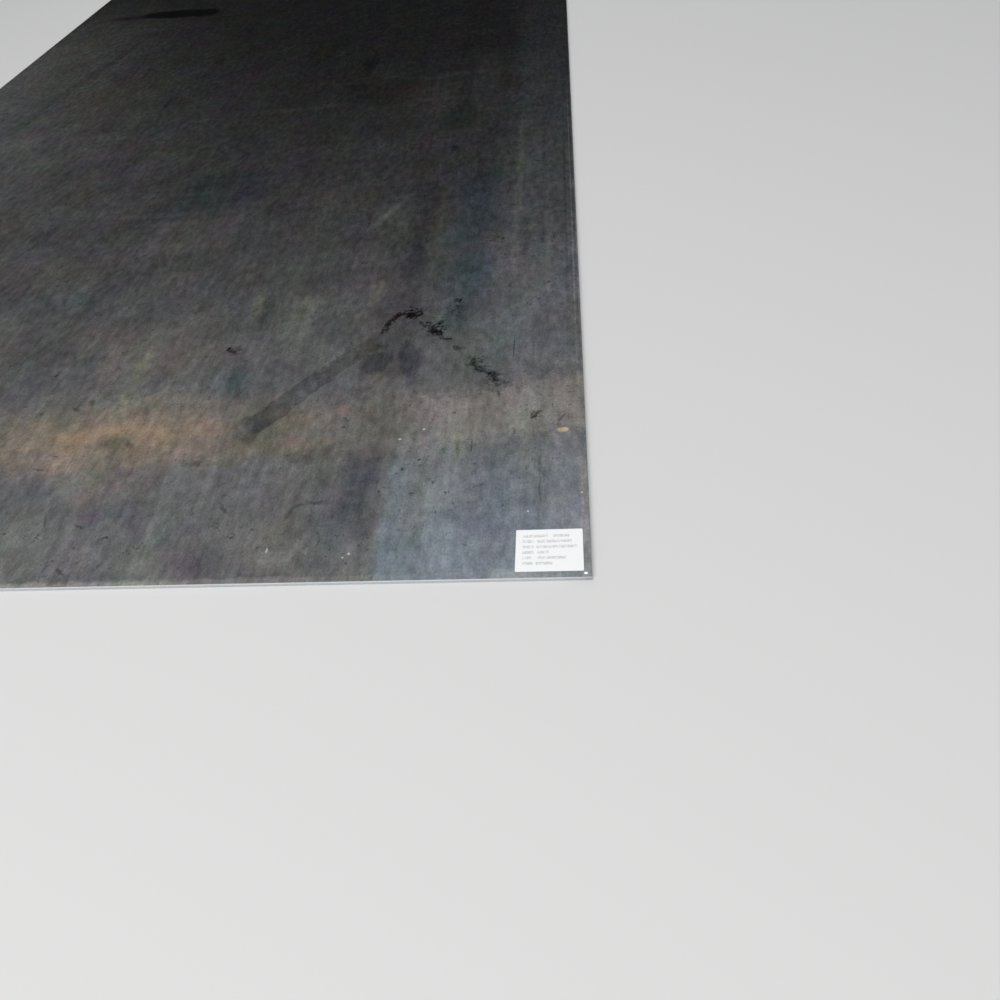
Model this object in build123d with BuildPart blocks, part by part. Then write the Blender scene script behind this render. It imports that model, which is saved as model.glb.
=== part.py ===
"""A hot rolled steel plate, lying flat, with its paper label stuck to the top face.

X runs across the plate's width, Y along its length and Z through its thickness. The origin is
the middle of the underside. The label is at the corner towards -Y and +X.
"""
import os

from build123d import *

# The plate's stock size, in millimetres
plate_width = 2000.0
plate_length = 9144.0
plate_thickness = 8.0

# The shear draws the top rim down into a small round and leaves a burr below, which wears off
top_rim_radius = 0.8
bottom_rim_break = 0.3

# The label: one sheet of adhesive paper with barely rounded corners
label_width = 94.0
label_depth = 72.0
label_thickness = 0.15
label_corner_radius = 1.5

# How far the label's two near sides lie from the plate's side and from its near end
label_from_side = 11.0
label_from_near_end = 10.0

# The label's middle, worked out from the corner that it was stuck beside
label_x = plate_width / 2 - label_from_side - label_width / 2
label_y = -plate_length / 2 + label_from_near_end + label_depth / 2

os.makedirs("parts", exist_ok=True)

# The plate is one piece of rolled steel: a flat slab with square corners
with BuildPart() as steel_plate:
    with BuildSketch(Plane.XY):
        Rectangle(plate_width, plate_length)
    extrude(amount=plate_thickness)
    fillet(steel_plate.faces().sort_by(Axis.Z)[-1].edges(), radius=top_rim_radius)
    chamfer(steel_plate.faces().sort_by(Axis.Z)[0].edges(), length=bottom_rim_break)
steel_plate.part.label = "steel_plate"
export_step(steel_plate.part, "parts/steel_plate.step")

# The label lies flat on the plate's top face, square to its edges
with BuildPart() as paper_label:
    with BuildSketch(Plane.XY.offset(plate_thickness)):
        with Locations((label_x, label_y)):
            RectangleRounded(label_width, label_depth, label_corner_radius)
    extrude(amount=label_thickness)
paper_label.part.label = "paper_label"
export_step(paper_label.part, "parts/paper_label.step")
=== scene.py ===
"""A plate of hot rolled steel, lying on a pale floor, with its paper label by one corner.

X runs across the plate's width, Y along its length and Z up through its thickness. The near
end, with the label, is towards -Y.
"""
import math

import bmesh
import bpy
from mathutils import Matrix, Vector, noise


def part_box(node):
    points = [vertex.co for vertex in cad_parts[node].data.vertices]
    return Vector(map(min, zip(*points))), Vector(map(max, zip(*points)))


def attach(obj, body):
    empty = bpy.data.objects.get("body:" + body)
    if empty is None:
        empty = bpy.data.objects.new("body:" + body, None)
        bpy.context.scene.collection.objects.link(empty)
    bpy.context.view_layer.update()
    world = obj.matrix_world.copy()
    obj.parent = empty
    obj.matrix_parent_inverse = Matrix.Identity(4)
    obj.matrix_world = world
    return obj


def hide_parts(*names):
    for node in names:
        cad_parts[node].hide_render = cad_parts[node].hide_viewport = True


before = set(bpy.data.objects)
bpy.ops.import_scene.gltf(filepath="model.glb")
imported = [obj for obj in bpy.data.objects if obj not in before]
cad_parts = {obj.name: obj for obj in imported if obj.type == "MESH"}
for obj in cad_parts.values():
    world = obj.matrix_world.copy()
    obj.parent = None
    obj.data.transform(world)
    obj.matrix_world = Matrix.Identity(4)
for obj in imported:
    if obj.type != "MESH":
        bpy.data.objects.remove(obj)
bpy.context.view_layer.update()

plate_low, plate_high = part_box("steel_plate")
plate_width = plate_high.x - plate_low.x
plate_length = plate_high.y - plate_low.y
plate_thickness = plate_high.z - plate_low.z


# Viewpoint. Someone stands before the near end, in line with the right side, and looks down
# along the plate through a wide lens, with the head a little on one side.
eye_in_from_right_side = 0.0171
eye_out_from_near_end = 0.5520
eye_height = 0.8176
turned_left = math.radians(9.355)
turned_down = math.radians(49.105)
tilted_left = math.radians(8.90)
lens_mm = 25.99
sensor_width_mm = 36.0

camera_data = bpy.data.cameras.new("eye")
camera_data.lens = lens_mm
camera_data.sensor_width = sensor_width_mm
camera = bpy.data.objects.new("eye", camera_data)
bpy.context.scene.collection.objects.link(camera)
eye = Vector((plate_high.x - eye_in_from_right_side, plate_low.y - eye_out_from_near_end, eye_height))
camera.matrix_world = (
    Matrix.Translation(eye)
    @ Matrix.Rotation(turned_left, 4, "Z")
    @ Matrix.Rotation(math.pi / 2 - turned_down, 4, "X")
    @ Matrix.Rotation(-tilted_left, 4, "Z")
)
bpy.context.scene.camera = camera
bpy.context.scene.view_settings.view_transform = "Standard"


# Floor and light. The floor is a wide, smooth, pale grey sheet. A large soft light stands
# behind the viewer, a long weak one hangs over the plate, and the room around glows evenly.
floor_size = 80.0
floor_below = 0.0002
floor_grey = "dcdcda"
floor_roughness = 0.9
room_grey = "b4b5b7"
front_light_size = (4.5, 3.0)
front_light_place = Vector((-0.4, -8.2, 3.4))
front_light_aim = Vector((0.3, -4.2, 0.0))
front_light_watts = 195.0
top_light_size = (3.0, 9.0)
top_light_height = 4.5
top_light_watts = 52.0


def linear(hex_colour):
    """Turns an sRGB hex colour into the linear colour that a shader takes."""
    shares = [int(hex_colour[n : n + 2], 16) / 255 for n in (0, 2, 4)]
    bent = [s / 12.92 if s <= 0.04045 else ((s + 0.055) / 1.055) ** 2.4 for s in shares]
    return (*bent, 1.0)


def add_node(tree, kind, inputs=None, stops=(), **settings):
    """Adds a node, gives it its settings and its ramp's stops, and fills or links its inputs."""
    made = tree.nodes.new("ShaderNode" + kind)
    for name, value in settings.items():
        setattr(made, name, value)
    for number, (place, colour) in enumerate(stops):
        ramp = made.color_ramp.elements
        stop = ramp[number] if number < 2 else ramp.new(place)
        stop.position = place
        stop.color = colour
    for name, value in (inputs or {}).items():
        if isinstance(value, bpy.types.NodeSocket):
            tree.links.new(value, made.inputs[name])
        else:
            made.inputs[name].default_value = value
    return made


floor_shape = bmesh.new()
bmesh.ops.create_grid(floor_shape, x_segments=1, y_segments=1, size=floor_size / 2)
bmesh.ops.translate(floor_shape, verts=floor_shape.verts, vec=(0, 0, plate_low.z - floor_below))
floor_mesh = bpy.data.meshes.new("floor")
floor_shape.to_mesh(floor_mesh)
floor_shape.free()
floor = bpy.data.objects.new("floor", floor_mesh)
bpy.context.scene.collection.objects.link(floor)

painted_floor = bpy.data.materials.new("matt_floor_paint")
painted_floor.use_nodes = True
floor_shader = painted_floor.node_tree.nodes["Principled BSDF"]
floor_shader.inputs["Base Color"].default_value = linear(floor_grey)
floor_shader.inputs["Roughness"].default_value = floor_roughness
floor_mesh.materials.append(painted_floor)

room = bpy.data.worlds.new("room")
room.use_nodes = True
room.node_tree.nodes["Background"].inputs["Color"].default_value = linear(room_grey)
bpy.context.scene.world = room

front_light_data = bpy.data.lights.new("front_light", "AREA")
front_light_data.shape = "RECTANGLE"
front_light_data.size, front_light_data.size_y = front_light_size
front_light_data.energy = front_light_watts
front_light = bpy.data.objects.new("front_light", front_light_data)
front_light.location = front_light_place
front_light.rotation_euler = (front_light_aim - front_light_place).to_track_quat("-Z", "Y").to_euler()
bpy.context.scene.collection.objects.link(front_light)

top_light_data = bpy.data.lights.new("top_light", "AREA")
top_light_data.shape = "RECTANGLE"
top_light_data.size, top_light_data.size_y = top_light_size
top_light_data.energy = top_light_watts
top_light = bpy.data.objects.new("top_light", top_light_data)
top_light.location = (0, 0, top_light_height)
bpy.context.scene.collection.objects.link(top_light)


# The plate. One piece of hot rolled carbon steel. The rolls leave both faces covered in mill
# scale, and a guillotine shear cuts the edges: the blade rounds the top rim, burnishes the
# upper part of the cut, and the lower part breaks away, duller, rougher and a little inwards.
square_length = 0.050
top_rim_radius = 0.0008
top_rim_segments = 4
bottom_rim_break = 0.0003
burnished_depth = 0.0030
break_slope = 0.00025
break_roughness = 0.00012
break_lumps_per_metre = 31.0
break_rows = 4
side_band = 0.002
height_slack = 1e-5
sharp_angle = 1.0
flat_normal = 0.9999
upright_normal = 0.5

plate_shape = bmesh.new()
bmesh.ops.create_cube(plate_shape, size=1.0)
bmesh.ops.scale(plate_shape, verts=plate_shape.verts, vec=(plate_width, plate_length, plate_thickness))
bmesh.ops.translate(plate_shape, verts=plate_shape.verts, vec=(plate_low + plate_high) / 2)

# The faces are divided into squares, and the cut's height into rows below the burnished part
for axis, length in ((0, plate_width), (1, plate_length)):
    across = [e for e in plate_shape.edges if abs((e.verts[0].co - e.verts[1].co)[axis]) > length / 2]
    cuts = round(length / square_length) - 1
    bmesh.ops.subdivide_edges(plate_shape, edges=across, cuts=cuts, use_grid_fill=True)
burnished_bottom = plate_high.z - burnished_depth
for row in range(break_rows):
    height = burnished_bottom - (burnished_bottom - plate_low.z) * row / break_rows
    everything = plate_shape.verts[:] + plate_shape.edges[:] + plate_shape.faces[:]
    bmesh.ops.bisect_plane(plate_shape, geom=everything, plane_co=(0, 0, height), plane_no=(0, 0, 1))

rims = [e for e in plate_shape.edges if e.calc_face_angle(0.0) > sharp_angle]
for height, reach, segments in (
    (plate_high.z, top_rim_radius, top_rim_segments),
    (plate_low.z, bottom_rim_break, 1),
):
    rim = [e for e in rims if e.is_valid and all(abs(v.co.z - height) < height_slack for v in e.verts)]
    bmesh.ops.bevel(
        plate_shape, geom=rim, offset=reach, segments=segments, profile=0.5, affect="EDGES", material=-1
    )

# Below the burnished part the break leans inwards and is uneven
for vertex in plate_shape.verts:
    drop = burnished_bottom - vertex.co.z
    if drop < -height_slack:
        continue
    lumps = abs(noise.noise(vertex.co * break_lumps_per_metre))
    inwards = break_slope * drop / burnished_bottom + break_roughness * lumps
    if plate_high.x - abs(vertex.co.x) < side_band:
        vertex.co.x -= math.copysign(inwards, vertex.co.x)
    if plate_high.y - abs(vertex.co.y) < side_band:
        vertex.co.y -= math.copysign(inwards, vertex.co.y)

for face in plate_shape.faces:
    face.smooth = abs(face.normal.z) <= flat_normal
    face.material_index = 0 if abs(face.normal.z) > upright_normal else 1
plate_mesh = bpy.data.meshes.new("rolled_plate")
plate_shape.to_mesh(plate_mesh)
plate_shape.free()
plate = bpy.data.objects.new("rolled_plate", plate_mesh)
bpy.context.scene.collection.objects.link(plate)
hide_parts("steel_plate")
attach(plate, "root")

# Mill scale: a thin skin of black iron oxide, blue-grey to brown-black and dull, streaked
# along the way it was rolled. Handling has wiped, stained and rusted it near the end. A fall
# of light along the plate from the near end is painted into its tone. Its colour is summed up
# as levels from 0 to 1, as the eye sees them, and bent to linear last.
scale = bpy.data.materials.new("mill_scale_and_painted_light")
scale.use_nodes = True
tree = scale.node_tree
scale_shader = tree.nodes["Principled BSDF"]
plate_mesh.materials.append(scale)

place = add_node(tree, "TexCoord").outputs["Object"]
axes = add_node(tree, "SeparateXYZ", {"Vector": place}).outputs


def maths(operation, *terms):
    """Works out a number from up to three others."""
    return add_node(tree, "Math", dict(enumerate(terms)), operation=operation).outputs[0]


def level_maths(operation, *terms):
    """Works out three numbers at once from others."""
    return add_node(tree, "VectorMath", dict(enumerate(terms)), operation=operation).outputs[0]


def scaled(levels, share):
    """Gives three levels times a share."""
    return add_node(tree, "VectorMath", {0: levels, "Scale": share}, operation="SCALE").outputs[0]


def mapped(value, low, high, to_low=0.0, to_high=1.0, easing="LINEAR"):
    """Turns the range from low to high into another one, beyond which nothing goes."""
    ends = {"From Min": low, "From Max": high, "To Min": to_low, "To Max": to_high}
    return add_node(tree, "MapRange", {"Value": value, **ends}, interpolation_type=easing).outputs[0]


def even_noise(where, size, detail, roughness=0.5):
    """Adds a noise with lumps of one size each way."""
    inputs = {"Vector": where, "Scale": 1 / size, "Detail": detail, "Roughness": roughness}
    return add_node(tree, "TexNoise", inputs).outputs


def drawn_noise(where, across, along_plate, detail, roughness=0.6):
    """Adds a noise with lumps of one size across the plate and of another along it."""
    lumps = (1 / across, 1 / along_plate, 0.0)
    drawn = add_node(tree, "Mapping", {"Vector": where, "Scale": lumps}).outputs[0]
    return even_noise(drawn, 1.0, detail, roughness)


def astray(width, reach, detail):
    """Gives coordinates that wander about the true ones by a noise so wide, and reach so far."""
    drift = even_noise(place, width, detail)["Color"]
    centred = level_maths("SUBTRACT", drift, (0.5, 0.5, 0.5))
    return level_maths("MULTIPLY_ADD", centred, (reach, reach, 0.0), place)


wandering = astray(width=0.22, reach=0.14, detail=4.0)
ragged = astray(width=0.020, reach=0.014, detail=3.0)
wandering_axes = add_node(tree, "SeparateXYZ", {"Vector": wandering}).outputs
ragged_axes = add_node(tree, "SeparateXYZ", {"Vector": ragged}).outputs
true_x_y = (axes["X"], axes["Y"])
wandering_x_y = (wandering_axes["X"], wandering_axes["Y"])
ragged_x_y = (ragged_axes["X"], ragged_axes["Y"])
along = maths("SUBTRACT", wandering_axes["Y"], plate_low.y)

# The light grey of the near end, which is partly painted light, reaches further along the plate towards its
# left side
slant_right_end = 0.20
slant = 1.05
slant_begins = 0.7
slant_is_full = 1.6
slant_grows = mapped(along, slant_begins, slant_is_full, to_high=slant)
left_of_slant = maths("SUBTRACT", slant_right_end, wandering_axes["X"])
left_of_slant = maths("MAXIMUM", left_of_slant, 0.0)
lag = maths("MULTIPLY", left_of_slant, slant_grows)
slanted = maths("SUBTRACT", along, lag)

# How light the scale is along the plate, from the near end in metres: grey at the near end, near
# black by about 3 m, and middling over the rest. The fall from grey to near black is partly the
# scale's own tone and partly painted light, light that falls off along the plate from the near end.
scale_tone_and_light_along = (
    (0.00, 0.400),
    (0.35, 0.392),
    (0.50, 0.352),
    (0.80, 0.290),
    (1.20, 0.220),
    (1.60, 0.176),
    (2.10, 0.132),
    (2.80, 0.112),
    (3.60, 0.135),
    (5.00, 0.200),
    (7.00, 0.230),
    (9.14, 0.330),
)
# This tone holds painted light too: lighter at the near end, falling off along the plate
tone_and_light = add_node(
    tree,
    "ValToRGB",
    {"Fac": maths("DIVIDE", slanted, plate_length)},
    stops=[(metres / plate_length, (level, level, level, 1.0)) for metres, level in scale_tone_and_light_along],
).outputs["Color"]

# Broad streaks along the rolling direction, and clouds of thicker and thinner scale. Each
# changes the tone by a share of itself.
broad_streaks = drawn_noise(place, across=0.070, along_plate=1.8, detail=3.0)["Fac"]
clouds = even_noise(wandering, size=0.12, detail=4.0, roughness=0.6)["Fac"]
for layer, weight in ((broad_streaks, 0.32), (clouds, 0.50)):
    factor = mapped(layer, 0.0, 1.0, 1.0 - weight / 2, 1.0 + weight / 2)
    tone_and_light = maths("MULTIPLY", tone_and_light, factor)

# Faint patches of violet, green, blue and brown, which the oxide's thickness gives
levels = tone_and_light
for patch_across, patch_along, weight in ((0.090, 0.130, 0.052), (0.018, 0.026, 0.026)):
    patches = drawn_noise(ragged, patch_across, patch_along, detail=2.0)["Color"]
    hues = level_maths("SUBTRACT", patches, (0.5, 0.5, 0.5))
    levels = level_maths("MULTIPLY_ADD", hues, (weight, weight, weight), levels)

# What frays the borders of the marks
fray = even_noise(place, size=0.014, detail=5.0, roughness=0.8)["Fac"]
fray_centred = maths("SUBTRACT", fray, 0.5)


def stain(marks, change, *places, soft=0.6, square=False, frayed=0.3, follows=None, through=None):
    """Adds to the marks a change of the red, green and blue levels in some ovals or boxes.

    A place says where its middle is, across from the middle line and on from the near end, how
    far it reaches each way from there, and how far it is turned, in metres and degrees. The
    sums are done number by number, because a longer way round overfills the renderer's stack.
    """
    nearest = 100.0
    for across, along_plate, half_length, half_width, turn in places:
        cosine, sine = math.cos(math.radians(turn)), math.sin(math.radians(turn))
        squares = []
        for x_share, y_share in (
            (cosine / half_length, sine / half_length),
            (-sine / half_width, cosine / half_width),
        ):
            part = -x_share * across - y_share * (plate_low.y + along_plate)
            for coordinate, share in zip(follows or ragged_x_y, (x_share, y_share)):
                if share:
                    part = maths("MULTIPLY_ADD", coordinate, share, part)
            squares.append(maths("MULTIPLY", part, part))
        reach = maths("MAXIMUM" if square else "ADD", *squares)
        nearest = maths("MINIMUM", reach, nearest)
    nearest = maths("SQRT", nearest)
    if frayed:
        nearest = maths("MULTIPLY_ADD", fray_centred, 4 * frayed, nearest)
    inside = mapped(nearest, 1.0, 1.0 - soft, easing="SMOOTHSTEP")
    if through:
        inside = maths("MULTIPLY", inside, through)
    return level_maths("ADD", marks, scaled(change, inside))


# Many marks were picked as ovals in an enlarged crop of the photo. They are given in
# that crop's pixels. A crop is its left and top in the photo, and how much it is enlarged.
photo_middle = 500.0
focal_pixels = lens_mm / sensor_width_mm * 2 * photo_middle
rust_crop = (0, 360, 4.5)
wipe_crop = (230, 270, 4.5)


def shown_at(crop, column, row):
    """Gives the place, across and on from the near end, that a crop's pixel shows."""
    left, top, enlarged = crop
    right = left + column / enlarged - photo_middle
    up = photo_middle - top - row / enlarged
    towards = camera.matrix_world.to_3x3() @ Vector((right, up, -focal_pixels))
    spot = eye + towards * (plate_high.z - eye.z) / towards.z
    return Vector((spot.x, spot.y - plate_low.y))


def seen(crop, column, row, half_width, half_height, turn=0, longer=1.0, wider=1.0):
    """Lays an oval that is seen in a crop on the plate, and gives its place as stain takes it.

    Its two half axes, laid on the plate, span a new oval, whose own half axes and turn are
    worked out. Its length and width can then be multiplied by a factor each.
    """
    cosine, sine = math.cos(math.radians(turn)), math.sin(math.radians(turn))
    middle = shown_at(crop, column, row)
    first = shown_at(crop, column + cosine * half_width, row - sine * half_width) - middle
    second = shown_at(crop, column + sine * half_height, row + cosine * half_height) - middle
    mean = (first.length_squared + second.length_squared) / 2
    skew = first.x * first.y + second.x * second.y
    surplus = first.x**2 + second.x**2 - mean
    spread = math.hypot(surplus, skew)
    half_length = math.sqrt(mean + spread) * longer
    half_breadth = math.sqrt(mean - spread) * wider
    return middle.x, middle.y, half_length, half_breadth, math.degrees(math.atan2(skew, surplus) / 2)


marks = (0.0, 0.0, 0.0)

# Rust haze in patches: a band right across the near end, strongest on its left
rust_noise = drawn_noise(wandering, across=0.110, along_plate=0.045, detail=5.0, roughness=0.65)["Fac"]
patchy = mapped(rust_noise, 0.30, 0.62, 0.35, 1.2)
marks = stain(
    marks,
    (0.058, 0.034, 0.014),
    (0.12, 0.31, 0.34, 0.13, 0),
    soft=0.8,
    follows=wandering_x_y,
    through=patchy,
)
marks = stain(
    marks,
    (0.044, 0.022, -0.004),
    (0.30, 0.32, 0.55, 0.100, 0),
    soft=0.7,
    square=True,
    follows=wandering_x_y,
    through=patchy,
)
marks = stain(
    marks,
    (0.082, 0.068, 0.052),
    (0.87, 0.335, 0.20, 0.082, 3),
    soft=0.55,
    square=True,
    follows=wandering_x_y,
)
rust_cores = (
    seen(rust_crop, 660, 320, 156, 104, 5, longer=1.31, wider=1.24),
    seen(rust_crop, 300, 435, 130, 110, 45, longer=1.27, wider=1.27),
    (0.130, 0.320, 0.130, 0.050, 6),
    (0.340, 0.329, 0.070, 0.044, -12),
)
marks = stain(marks, (0.045, 0.030, 0.011), *rust_cores, soft=0.9, through=patchy)

# Pink rust spots, and a greenish patch that stayed free of rust, with a dark tip
pink_spots = (
    seen(rust_crop, 60, 352, 52, 29),
    seen(rust_crop, 390, 217, 52, 29),
    seen(rust_crop, 605, 247, 72, 36),
    seen(rust_crop, 820, 425, 104, 46),
    seen(rust_crop, 510, 575, 65, 32, 20, longer=1.09, wider=1.06),
    seen(rust_crop, 365, 620, 58, 39, 20, longer=1.09, wider=1.06),
    seen(rust_crop, 920, 292, 52, 36),
    seen(rust_crop, 1330, 360, 91, 52),
)
yellow_patch = seen(rust_crop, 605, 170, 58, 117, 70, longer=1.19, wider=1.11)
green_patch = (0.192, 0.297, 0.038, 0.024, -13)
dark_tip = seen(rust_crop, 585, 387, 32, 23, -20, wider=0.78)
marks = stain(marks, (0.030, 0.004, 0.010), *pink_spots, soft=0.9)
marks = stain(marks, (0.056, 0.005, 0.010), (0.588, 0.357, 0.016, 0.014, 0))
marks = stain(marks, (0.018, 0.020, 0.000), yellow_patch, soft=0.9)
marks = stain(marks, (-0.066, -0.046, -0.050), green_patch, soft=0.5, frayed=0.5)
marks = stain(marks, (-0.080, -0.075, -0.060), dark_tip, frayed=0.5)

# Teal and violet clouds between the rust and the near end, dark streaks and flecks
teal_clouds = (
    seen(rust_crop, 140, 600, 117, 65, 10, longer=1.28, wider=1.23),
    seen(rust_crop, 555, 700, 72, 39, longer=1.31, wider=1.38),
    seen(rust_crop, 720, 810, 65, 52, longer=1.33, wider=1.33),
    seen(rust_crop, 1035, 90, 72, 117, 80, longer=1.11, wider=1.14),
    seen(rust_crop, 100, 80, 130, 104, longer=1.14, wider=1.19),
)
violet_clouds = (
    seen(rust_crop, 395, 715, 58, 45, longer=1.26, wider=1.29),
    seen(rust_crop, 600, 795, 65, 72, longer=1.26, wider=1.30),
    seen(rust_crop, 825, 905, 72, 110, 80, longer=1.23, wider=1.20),
)
dark_streaks = (
    seen(rust_crop, 895, 466, 98, 18, longer=1.16, wider=1.11),
    (0.555, 0.248, 0.062, 0.026, 6),
)
pale_clouds = (
    seen(rust_crop, 1220, 905, 91, 58, 20, longer=1.21, wider=1.17),
    seen(rust_crop, 375, 880, 58, 104, 70, longer=1.09, wider=1.10),
)
dark_flecks = (
    seen(rust_crop, 172, 492, 36, 16, longer=1.38, wider=0.50),
    seen(rust_crop, 340, 222, 20, 13, longer=1.45, wider=0.58),
    seen(rust_crop, 202, 717, 16, 36, longer=1.44, wider=0.70),
    seen(rust_crop, 272, 960, 29, 26, longer=1.38, wider=0.50),
    seen(rust_crop, 356, 750, 21, 13, longer=1.78, wider=0.70),
    seen(rust_crop, 1007, 670, 42, 39, longer=1.20, wider=0.31),
)
marks = stain(marks, (-0.026, -0.009, -0.008), *teal_clouds, soft=0.8)
marks = stain(marks, (-0.006, -0.021, 0.002), *violet_clouds, soft=0.8)
marks = stain(
    marks,
    (-0.034, -0.032, -0.030),
    (0.35, 0.12, 0.085, 0.080, 0),
    (0.16, 0.04, 0.050, 0.050, 0),
    soft=0.9,
)
marks = stain(marks, (0.028, 0.025, 0.020), (0.20, 0.185, 0.14, 0.045, 0), soft=0.9)
marks = stain(marks, (-0.044, -0.046, -0.044), *dark_streaks, frayed=0.5)
marks = stain(marks, (0.036, 0.036, 0.036), *pale_clouds, frayed=0.5)
marks = stain(marks, (-0.085, -0.080, -0.075), *dark_flecks, frayed=0.8)

# The near right corner is blue-grey beyond a sharp border, and fades out further along. A
# darker strip lies before it and a beige one in it.
corner_full_to = plate_low.y + 0.06
corner_gone_by = plate_low.y + 0.34
corner_fade = mapped(ragged_axes["Y"], corner_gone_by, corner_full_to)
marks = stain(
    marks,
    (0.054, 0.084, 0.112),
    (0.85, 0.14, 0.167, 0.20, 0),
    soft=0.12,
    square=True,
    frayed=0.03,
    through=corner_fade,
)
marks = stain(marks, (0.036, 0.030, 0.027), (0.86, 0.03, 0.12, 0.09, 0), soft=0.8)
marks = stain(marks, (-0.010, -0.020, -0.036), (0.740, 0.15, 0.030, 0.13, 0), soft=0.8, square=True)
marks = stain(marks, (-0.054, -0.047, -0.036), (0.648, 0.15, 0.050, 0.17, 0), soft=0.9, square=True)
marks = stain(
    marks,
    (0.046, 0.045, 0.046),
    (0.967, 0.18, 0.037, 0.150, 0),
    soft=0.40,
    square=True,
    frayed=0.1,
)
marks = stain(marks, (-0.050, -0.050, -0.050), (0.927, 0.185, 0.0022, 0.085, 0), square=True, frayed=0.15)
marks = stain(marks, (-0.026, -0.024, -0.018), (0.650, 0.21, 0.036, 0.080, 0), frayed=0.6)

# Dark strips along the plate: a violet one, a blue one, and the paler strip by the right side
marks = stain(marks, (-0.062, -0.063, -0.054), (0.656, 0.86, 0.046, 0.44, 0), soft=1.0, square=True)
marks = stain(marks, (-0.042, -0.028, -0.010), (0.770, 0.92, 0.072, 0.46, 0), soft=0.7, square=True)
marks = stain(marks, (0.036, 0.040, 0.050), (0.91, 0.64, 0.120, 0.28, 0), soft=0.5, square=True)
marks = stain(marks, (0.036, 0.041, 0.048), (0.95, 1.75, 0.150, 1.25, 0), soft=0.6, square=True)
marks = stain(marks, (0.030, 0.028, 0.018), (0.87, 1.10, 0.012, 0.55, 0), (0.94, 0.90, 0.010, 0.30, 0))
marks = stain(marks, (0.024, 0.024, 0.022), (0.60, 1.68, 0.100, 0.16, 0), (0.76, 1.75, 0.060, 0.40, 0))

# Light strips and their dark neighbours before and behind the wipe
marks = stain(marks, (0.050, 0.052, 0.032), (0.446, 0.61, 0.044, 0.13, 0), (0.592, 0.70, 0.022, 0.06, 0))
marks = stain(marks, (0.036, 0.027, 0.014), (0.16, 0.54, 0.24, 0.16, 0), soft=0.9)
marks = stain(marks, (0.030, 0.034, 0.006), (0.345, 0.70, 0.014, 0.07, 0), (0.165, 0.48, 0.018, 0.13, 0))
marks = stain(marks, (-0.045, -0.034, -0.036), (0.372, 0.66, 0.020, 0.07, 0), (0.372, 0.44, 0.022, 0.08, 0))
marks = stain(marks, (-0.030, -0.026, -0.012), (0.46, 0.74, 0.020, 0.05, 0), (0.05, 0.52, 0.030, 0.10, 0))

# The wipe: a hand or a glove dragged through the dust, darkest where it set off, in a notch
uneven = mapped(clouds, 0.35, 0.65, 1.2, 0.8)
marks = stain(
    marks,
    (-0.076, -0.070, -0.062),
    (0.482, 0.383, 0.092, 0.0250, 53),
    soft=0.14,
    square=True,
    frayed=0.09,
    through=uneven,
)
marks = stain(
    marks,
    (-0.050, -0.053, -0.056),
    (0.574, 0.496, 0.066, 0.0215, 47),
    soft=0.20,
    square=True,
    frayed=0.12,
    through=uneven,
)
marks = stain(
    marks, (-0.060, -0.054, -0.056), (0.437, 0.297, 0.026, 0.017, 60), (0.411, 0.336, 0.024, 0.007, 50)
)
marks = stain(marks, (0.008, 0.010, 0.030), (0.446, 0.335, 0.060, 0.036, 53), soft=0.7)
marks = stain(marks, (-0.034, -0.034, -0.030), (0.650, 0.540, 0.060, 0.060, 0), soft=0.9)

# Finger prints beside it, blue-grey
left_print = seen(wipe_crop, 660, 415, 82, 42, 18, longer=1.28, wider=1.21)
right_print = seen(wipe_crop, 808, 400, 78, 46, 95, longer=1.18, wider=1.26)
print_tail = seen(wipe_crop, 800, 490, 40, 34, 100, longer=1.43, wider=1.35)
marks = stain(marks, (-0.034, -0.032, -0.036), (0.655, 0.475, 0.080, 0.065, 0), soft=0.8)
marks = stain(marks, (-0.062, -0.056, -0.044), left_print, soft=0.4, frayed=0.18)
marks = stain(marks, (-0.068, -0.061, -0.052), right_print, soft=0.4, frayed=0.2)
marks = stain(marks, (-0.046, -0.046, -0.030), print_tail, soft=0.7, frayed=0.25)

# The trail: oil that was flung in drops, black-olive and spattered, with thin runs between
spatter = even_noise(place, size=0.0075, detail=2.0, roughness=0.7)["Fac"]
drops = mapped(spatter, 0.46, 0.56)
thick_drops = (
    seen(wipe_crop, 712, 245, 38, 14, 50, longer=1.23, wider=1.05),
    seen(wipe_crop, 752, 210, 30, 14, 25, longer=1.35, wider=0.94),
    seen(wipe_crop, 824, 200, 34, 26, 15, longer=1.14, wider=1.03),
    seen(wipe_crop, 925, 270, 38, 22, -32, longer=1.19, wider=0.97),
    seen(wipe_crop, 978, 310, 28, 11, -5, longer=1.29, wider=0.86),
    (0.921, 0.324, 0.0140, 0.0080, 40),
)
thinner_drops = (
    seen(wipe_crop, 1104, 424, 34, 26, -40, longer=1.28, wider=0.72),
    seen(wipe_crop, 1188, 482, 32, 26, -45, longer=1.22, wider=0.76),
)
spattered = (
    (0.680, 0.626, 0.030, 0.026, -80),
    (0.725, 0.568, 0.036, 0.022, -55),
    (0.814, 0.462, 0.034, 0.024, -45),
    (0.850, 0.414, 0.036, 0.026, -60),
    (0.920, 0.318, 0.022, 0.016, 60),
    (0.340, 0.536, 0.026, 0.014, -30),
)
runs = (
    (0.664, 0.622, 0.0160, 0.0060, 10),
    seen(wipe_crop, 868, 245, 30, 10, -30, longer=1.33, wider=1.06),
    seen(wipe_crop, 1025, 352, 30, 14, -5, longer=1.15, wider=1.06),
    (0.829, 0.438, 0.0200, 0.0036, -51),
    seen(wipe_crop, 1208, 560, 20, 7, -65, longer=1.20, wider=1.30),
    seen(wipe_crop, 1020, 136, 18, 12, 0, longer=1.16, wider=1.05),
    seen(wipe_crop, 945, 238, 20, 10, 20, longer=1.24, wider=1.03),
    seen(wipe_crop, 8, 362, 20, 10, 0, longer=1.11, wider=1.11),
)
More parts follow.
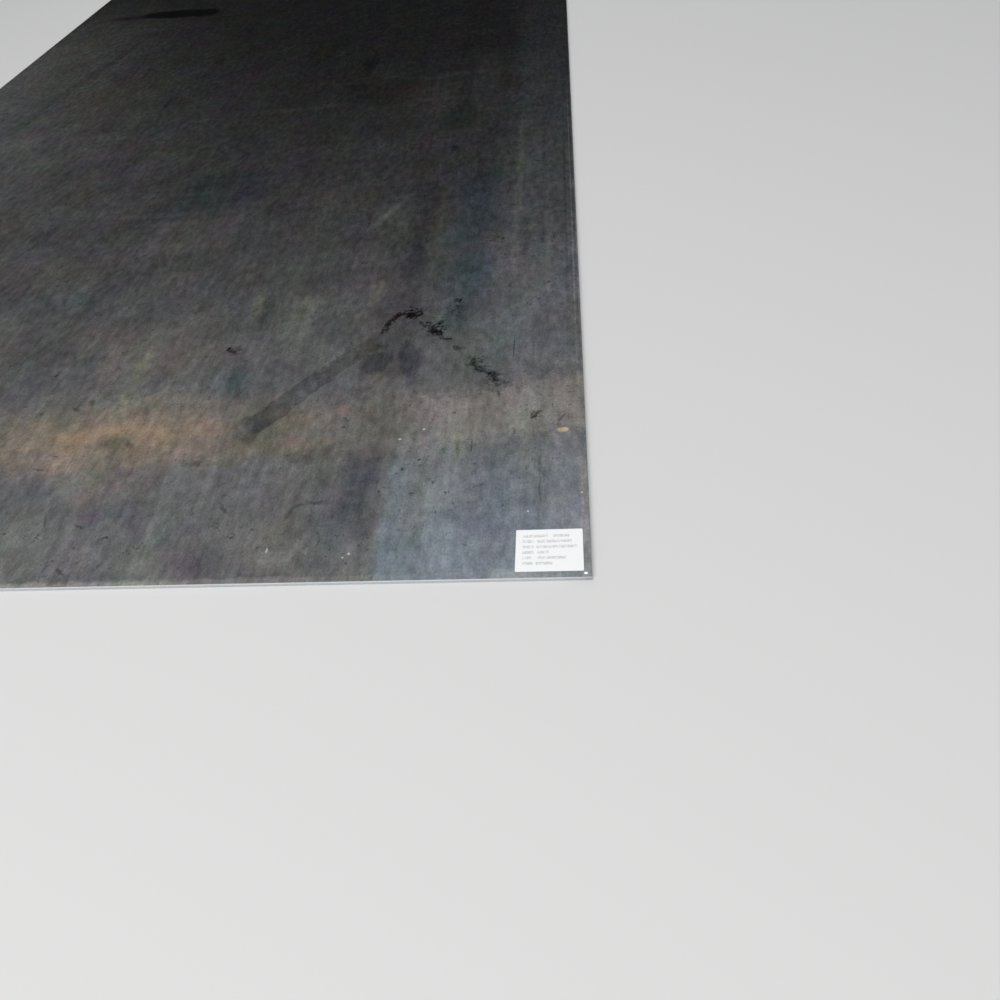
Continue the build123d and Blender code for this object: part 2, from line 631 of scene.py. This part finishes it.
left_haze = seen(wipe_crop, 40, 390, 40, 50, 0, longer=1.20, wider=1.20)
marks = stain(marks, (-0.155, -0.153, -0.162), *thick_drops, soft=0.45, frayed=0.9)
marks = stain(marks, (-0.105, -0.103, -0.104), *thinner_drops, soft=0.45, frayed=0.9)
marks = stain(marks, (-0.105, -0.102, -0.106), *spattered, soft=0.5, frayed=0.4, through=drops)
marks = stain(marks, (-0.110, -0.108, -0.114), *runs, soft=0.5, frayed=0.8)
marks = stain(
    marks,
    (-0.085, -0.080, -0.085),
    (0.765, 0.625, 0.050, 0.022, -83),
    soft=0.8,
    frayed=0.6,
    through=drops,
)
marks = stain(marks, (-0.064, -0.048, -0.052), (0.764, 0.610, 0.044, 0.110, 0), soft=0.9)
marks = stain(marks, (-0.034, -0.032, -0.026), left_haze, frayed=0.7)

# Scratches: dark thin ones, one broad light one, and a curved one with mottling beside it
marks = stain(
    marks,
    (-0.11, -0.11, -0.10),
    (0.878, 0.497, 0.0016, 0.034, 0),
    (0.962, 0.312, 0.0018, 0.014, -30),
    (0.818, 0.255, 0.0020, 0.016, 0),
    square=True,
    frayed=0.2,
    follows=true_x_y,
)
marks = stain(marks, (0.062, 0.062, 0.056), (0.572, 1.030, 0.122, 0.0160, 63), soft=0.7)
marks = stain(
    marks,
    (-0.075, -0.075, -0.068),
    (0.546, 0.124, 0.0200, 0.0055, 74),
    (0.562, 0.142, 0.0150, 0.0050, 25),
    (0.582, 0.147, 0.0160, 0.0045, 4),
    soft=0.7,
    frayed=0.5,
)
marks = stain(marks, (-0.05, -0.07, -0.11), (0.796, 0.252, 0.0050, 0.028, 0), frayed=0.25)
marks = stain(marks, (-0.020, -0.020, -0.018), (0.640, 0.132, 0.055, 0.022, 0), frayed=0.9)

# Bright specks and chips in the scale, the largest rusted orange
marks = stain(marks, (0.26, 0.19, 0.05), (0.963, 0.284, 0.012, 0.0065, 0), frayed=0.2)
marks = stain(
    marks,
    (0.26, 0.26, 0.25),
    (0.736, 0.298, 0.0032, 0.0032, 0),
    (0.698, 0.277, 0.0045, 0.0028, 0),
    (0.530, 0.057, 0.0022, 0.0070, 0),
    (0.655, 0.047, 0.0026, 0.0034, 0),
    (0.647, 0.041, 0.0030, 0.0022, 0),
    (0.911, 0.117, 0.0022, 0.0022, 0),
    (0.990, 0.150, 0.0022, 0.0022, 0),
    frayed=0.1,
    follows=true_x_y,
)
# A small white dot right at the near right corner
marks = stain(marks, (0.6, 0.6, 0.6), (0.9915, 0.0060, 0.0032, 0.0026, 0), frayed=0.0, follows=true_x_y)

# Further on: squarish patches where something was laid down, dark spots and faint light ones
marks = stain(
    marks,
    (0.026, 0.018, 0.020),
    (0.10, 0.99, 0.13, 0.085, 0),
    soft=0.3,
    square=True,
    frayed=0.12,
)
marks = stain(
    marks,
    (-0.028, -0.018, -0.010),
    (0.10, 1.20, 0.13, 0.130, 0),
    soft=0.4,
    square=True,
    frayed=0.12,
)
marks = stain(
    marks,
    (-0.018, -0.018, -0.018),
    (0.42, 1.76, 0.14, 0.120, 0),
    soft=0.5,
    square=True,
    frayed=0.1,
)
marks = stain(marks, (-0.060, -0.058, -0.050), (0.695, 1.340, 0.016, 0.022, 0))
marks = stain(
    marks,
    (-0.032, -0.030, -0.026),
    (-0.260, 1.85, 0.022, 0.09, 0),
    (-0.196, 2.17, 0.022, 0.07, 0),
    (0.363, 2.00, 0.035, 0.11, 0),
    (-0.660, 2.20, 0.48, 0.030, 79),
    (-0.300, 1.02, 0.035, 0.06, 0),
)
marks = stain(
    marks, (-0.028, -0.014, -0.016), (0.700, 1.54, 0.080, 0.12, 0), (-0.74, 1.74, 0.30, 0.035, 75)
)
marks = stain(marks, (0.016, 0.000, 0.014), (-0.04, 1.95, 0.070, 0.28, 0))
marks = stain(marks, (0.016, 0.010, -0.004), (-0.50, 1.93, 0.20, 0.24, 0), (0.52, 1.75, 0.07, 0.08, 0))
marks = stain(
    marks,
    (0.032, 0.034, 0.022),
    (0.244, 2.133, 0.016, 0.040, 0),
    (-0.217, 1.21, 0.040, 0.060, 0),
    (0.640, 1.850, 0.160, 0.032, 9),
    (0.210, 1.690, 0.340, 0.030, 2),
    (-0.745, 2.92, 0.070, 0.070, 0),
    soft=1.0,
)
marks = stain(marks, (0.060, 0.058, 0.054), (-0.92, 2.40, 0.62, 0.70, 0), soft=1.0)

# A black smear of grease, far on and to the left, drawn out thin at its left end
marks = stain(
    marks,
    (-0.150, -0.145, -0.145),
    (-0.560, 2.795, 0.200, 0.056, -9),
    (-0.450, 2.775, 0.075, 0.052, -9),
    soft=0.4,
    frayed=0.12,
)
marks = stain(marks, (-0.050, -0.055, -0.045), (-0.760, 2.805, 0.150, 0.034, -6), frayed=0.2)

# The scale is worn thin along the cut near end and by the corner, and scored by the right side.
# The brightest line, right at the right rim, is a painted highlight where the rim catches light.
marks = stain(
    marks,
    (0.13, 0.12, 0.11),
    (0.0, 0.000, 1.02, 0.012, 0),
    soft=0.8,
    square=True,
    frayed=0.05,
)
marks = stain(
    marks,
    (0.080, 0.058, 0.046),
    (0.93, 0.0, 0.08, 0.018, 0),
    soft=0.5,
    square=True,
    frayed=0.1,
)
marks = stain(marks, (0.070, 0.050, 0.030), (0.996, 0.10, 0.011, 0.16, 0), square=True, follows=true_x_y)
for change, score_and_rim_highlight, score_and_highlight_frayed in (
    ((0.06, 0.06, 0.05), (0.9900, 1.05, 0.0022, 0.80, 0), 0.15),
    # a painted highlight along the right rim, where the rim catches light
    ((0.10, 0.10, 0.09), (0.9990, 1.60, 0.0026, 1.50, 0), 0.1),
    ((-0.03, -0.03, -0.03), (0.977, 1.00, 0.0040, 0.60, 0), 0.3),
):
    marks = stain(marks, change, score_and_rim_highlight, square=True, frayed=score_and_highlight_frayed, follows=true_x_y)

# Only the upper face has the marks
face_depth = 0.002
upper_face = maths("GREATER_THAN", axes["Z"], plate_high.z - face_depth)
levels = level_maths("ADD", levels, scaled(marks, upper_face))

# The grain of the scale: mottling, short strokes along the rolling direction and specks. The
# real grain is under half a millimetre, so it is drawn as coarse as 3 mm to show. It works on
# the levels with a little added, so that the darkest parts show it too.
grain_floor = (0.24, 0.24, 0.24)
grains = (
    (0.020, 0.075, 0.12),
    (0.013, 0.026, 0.26),
    (0.0030, 0.032, 0.08),
    (0.0034, 0.0048, 0.22),
)
levels = level_maths("ADD", levels, grain_floor)
for grain_across, grain_along, weight in grains:
    grain = drawn_noise(place, grain_across, grain_along, detail=1.0)["Fac"]
    levels = scaled(levels, mapped(grain, 0.0, 1.0, 1.0 - weight / 2, 1.0 + weight / 2))

# Dark flecks, where the scale is crazed, in swarms
darkest_fleck = 0.34
crazed = mapped(clouds, 0.44, 0.60, to_high=darkest_fleck)
flecks = mapped(fray, 0.58, 0.72)
factor = maths("SUBTRACT", 1.0, maths("MULTIPLY", crazed, flecks))
levels = scaled(levels, factor)
levels = level_maths("SUBTRACT", levels, grain_floor)
blackest = (0.02, 0.02, 0.02)
levels = level_maths("MAXIMUM", levels, blackest)
colour = add_node(tree, "Gamma", {"Color": levels, "Gamma": 2.2}).outputs[0]

roughness = mapped(broad_streaks, 0.3, 0.7, 0.66, 0.74)
bump = add_node(tree, "Bump", {"Height": grain, "Strength": 0.20, "Distance": 0.0003}).outputs[0]
tree.links.new(colour, scale_shader.inputs["Base Color"])
tree.links.new(roughness, scale_shader.inputs["Roughness"])
tree.links.new(bump, scale_shader.inputs["Normal"])
scale_shader.inputs["Metallic"].default_value = 0.0
scale_shader.inputs["Specular IOR Level"].default_value = 0.01

# Sheared steel: bare, pale and bright where the blade burnished it, and duller and grainy
# where it broke, with fine upright scores
broken_steel = linear("d2d5d9")
burnished_steel = linear("f0f2f5")
broken_roughness = 0.55
burnished_roughness = 0.32
border_lumps_per_metre = 25.0
border_unevenness = 0.002
border_softness = 0.0004
score_width = 0.003
score_length = 0.02
score_weight = 0.25

sheared = bpy.data.materials.new("sheared_steel")
sheared.use_nodes = True
tree = sheared.node_tree
sheared_shader = tree.nodes["Principled BSDF"]
plate_mesh.materials.append(sheared)

place = add_node(tree, "TexCoord").outputs["Object"]
axes = add_node(tree, "SeparateXYZ", {"Vector": place}).outputs
along_edge = maths("ADD", axes["X"], axes["Y"])
edge_place = add_node(tree, "CombineXYZ", {"X": along_edge, "Z": axes["Z"]}).outputs[0]
border_noise = even_noise(edge_place, 1 / border_lumps_per_metre, detail=2.0)["Fac"]
border = maths("MULTIPLY_ADD", border_noise, border_unevenness, axes["Z"])
border_middle = burnished_bottom + border_unevenness / 2
burnished = mapped(border, border_middle - border_softness / 2, border_middle + border_softness / 2)
scores = add_node(
    tree, "Mapping", {"Vector": edge_place, "Scale": (1 / score_width, 0.0, 1 / score_length)}
).outputs[0]
score_noise = even_noise(scores, 1.0, detail=3.0)["Fac"]

# The sockets of a colour Mix node, by number: its factor, its two colours and its result
FACTOR, FIRST, SECOND, RESULT = 0, 6, 7, 2


def mixed(factor, first, second, blend="MIX"):
    """Mixes two colours."""
    inputs = {FACTOR: factor, FIRST: first, SECOND: second}
    return add_node(tree, "Mix", inputs, data_type="RGBA", blend_type=blend).outputs[RESULT]


cut_colour = mixed(burnished, broken_steel, burnished_steel)
cut_colour = mixed(score_weight, cut_colour, score_noise, blend="OVERLAY")
cut_roughness = mapped(burnished, 0.0, 1.0, broken_roughness, burnished_roughness)
cut_bump = add_node(tree, "Bump", {"Height": score_noise, "Strength": 0.3, "Distance": 0.0002}).outputs[0]
tree.links.new(cut_colour, sheared_shader.inputs["Base Color"])
tree.links.new(cut_roughness, sheared_shader.inputs["Roughness"])
tree.links.new(cut_bump, sheared_shader.inputs["Normal"])
sheared_shader.inputs["Metallic"].default_value = 1.0


# The label. A white sheet of adhesive paper, stuck flat on the top face beside the near right
# corner. Its small print is left out: plain grey bars hold the place of its six rows.
label_low, label_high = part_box("paper_label")
label_width = label_high.x - label_low.x
first_row_down = 0.0115
row_pitch = 0.0094
bar_height = 0.0048
least_ink = 0.10
most_ink = 0.36
paper_shade = linear("f7f9fa")
paper_light = linear("fcfdfd")
ink_grey = linear("6e7073")
paper_roughness = 0.7
fibres_per_metre = 600.0
letters_per_metre = 420.0
cockles_per_metre = 60.0

# Each bar is in a row, and reaches from one share of the label's width to another
label_bars = (
    (0, 0.10, 0.48),
    (0, 0.55, 0.80),
    (1, 0.10, 0.27),
    (1, 0.32, 0.84),
    (2, 0.10, 0.27),
    (2, 0.31, 0.91),
    (3, 0.10, 0.27),
    (3, 0.32, 0.49),
    (4, 0.10, 0.24),
    (4, 0.32, 0.74),
    (5, 0.10, 0.26),
    (5, 0.30, 0.55),
)

paper = bpy.data.materials.new("white_label_paper")
paper.use_nodes = True
tree = paper.node_tree
paper_shader = tree.nodes["Principled BSDF"]
place = add_node(tree, "TexCoord").outputs["Object"]
fibres = even_noise(place, 1 / fibres_per_metre, detail=3.0)["Fac"]
paper_colour = mixed(fibres, paper_shade, paper_light)
letter_gaps = even_noise(place, 1 / letters_per_metre, detail=0.0)["Fac"]
ink_share = mapped(letter_gaps, 0.35, 0.6, least_ink, most_ink)
for row, bar_from, bar_to in label_bars:
    middle_x = label_low.x + (bar_from + bar_to) / 2 * label_width
    middle_y = label_high.y - first_row_down - row * row_pitch
    half_bar = ((bar_to - bar_from) / 2 * label_width, bar_height / 2, 1.0)
    local = add_node(
        tree,
        "Mapping",
        {"Vector": place, "Location": (middle_x, middle_y, 0.0), "Scale": half_bar},
        vector_type="TEXTURE",
    ).outputs[0]
    parts = add_node(tree, "SeparateXYZ", {"Vector": level_maths("ABSOLUTE", local)}).outputs
    inside = maths("LESS_THAN", maths("MAXIMUM", parts["X"], parts["Y"]), 1.0)
    paper_colour = mixed(maths("MULTIPLY", inside, ink_share), paper_colour, ink_grey)
cockle = even_noise(place, 1 / cockles_per_metre, detail=1.0)["Fac"]
paper_bump = add_node(tree, "Bump", {"Height": cockle, "Strength": 0.2, "Distance": 0.0003}).outputs[0]
tree.links.new(paper_colour, paper_shader.inputs["Base Color"])
tree.links.new(paper_bump, paper_shader.inputs["Normal"])
paper_shader.inputs["Roughness"].default_value = paper_roughness

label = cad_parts["paper_label"]
label.data.materials.clear()
label.data.materials.append(paper)
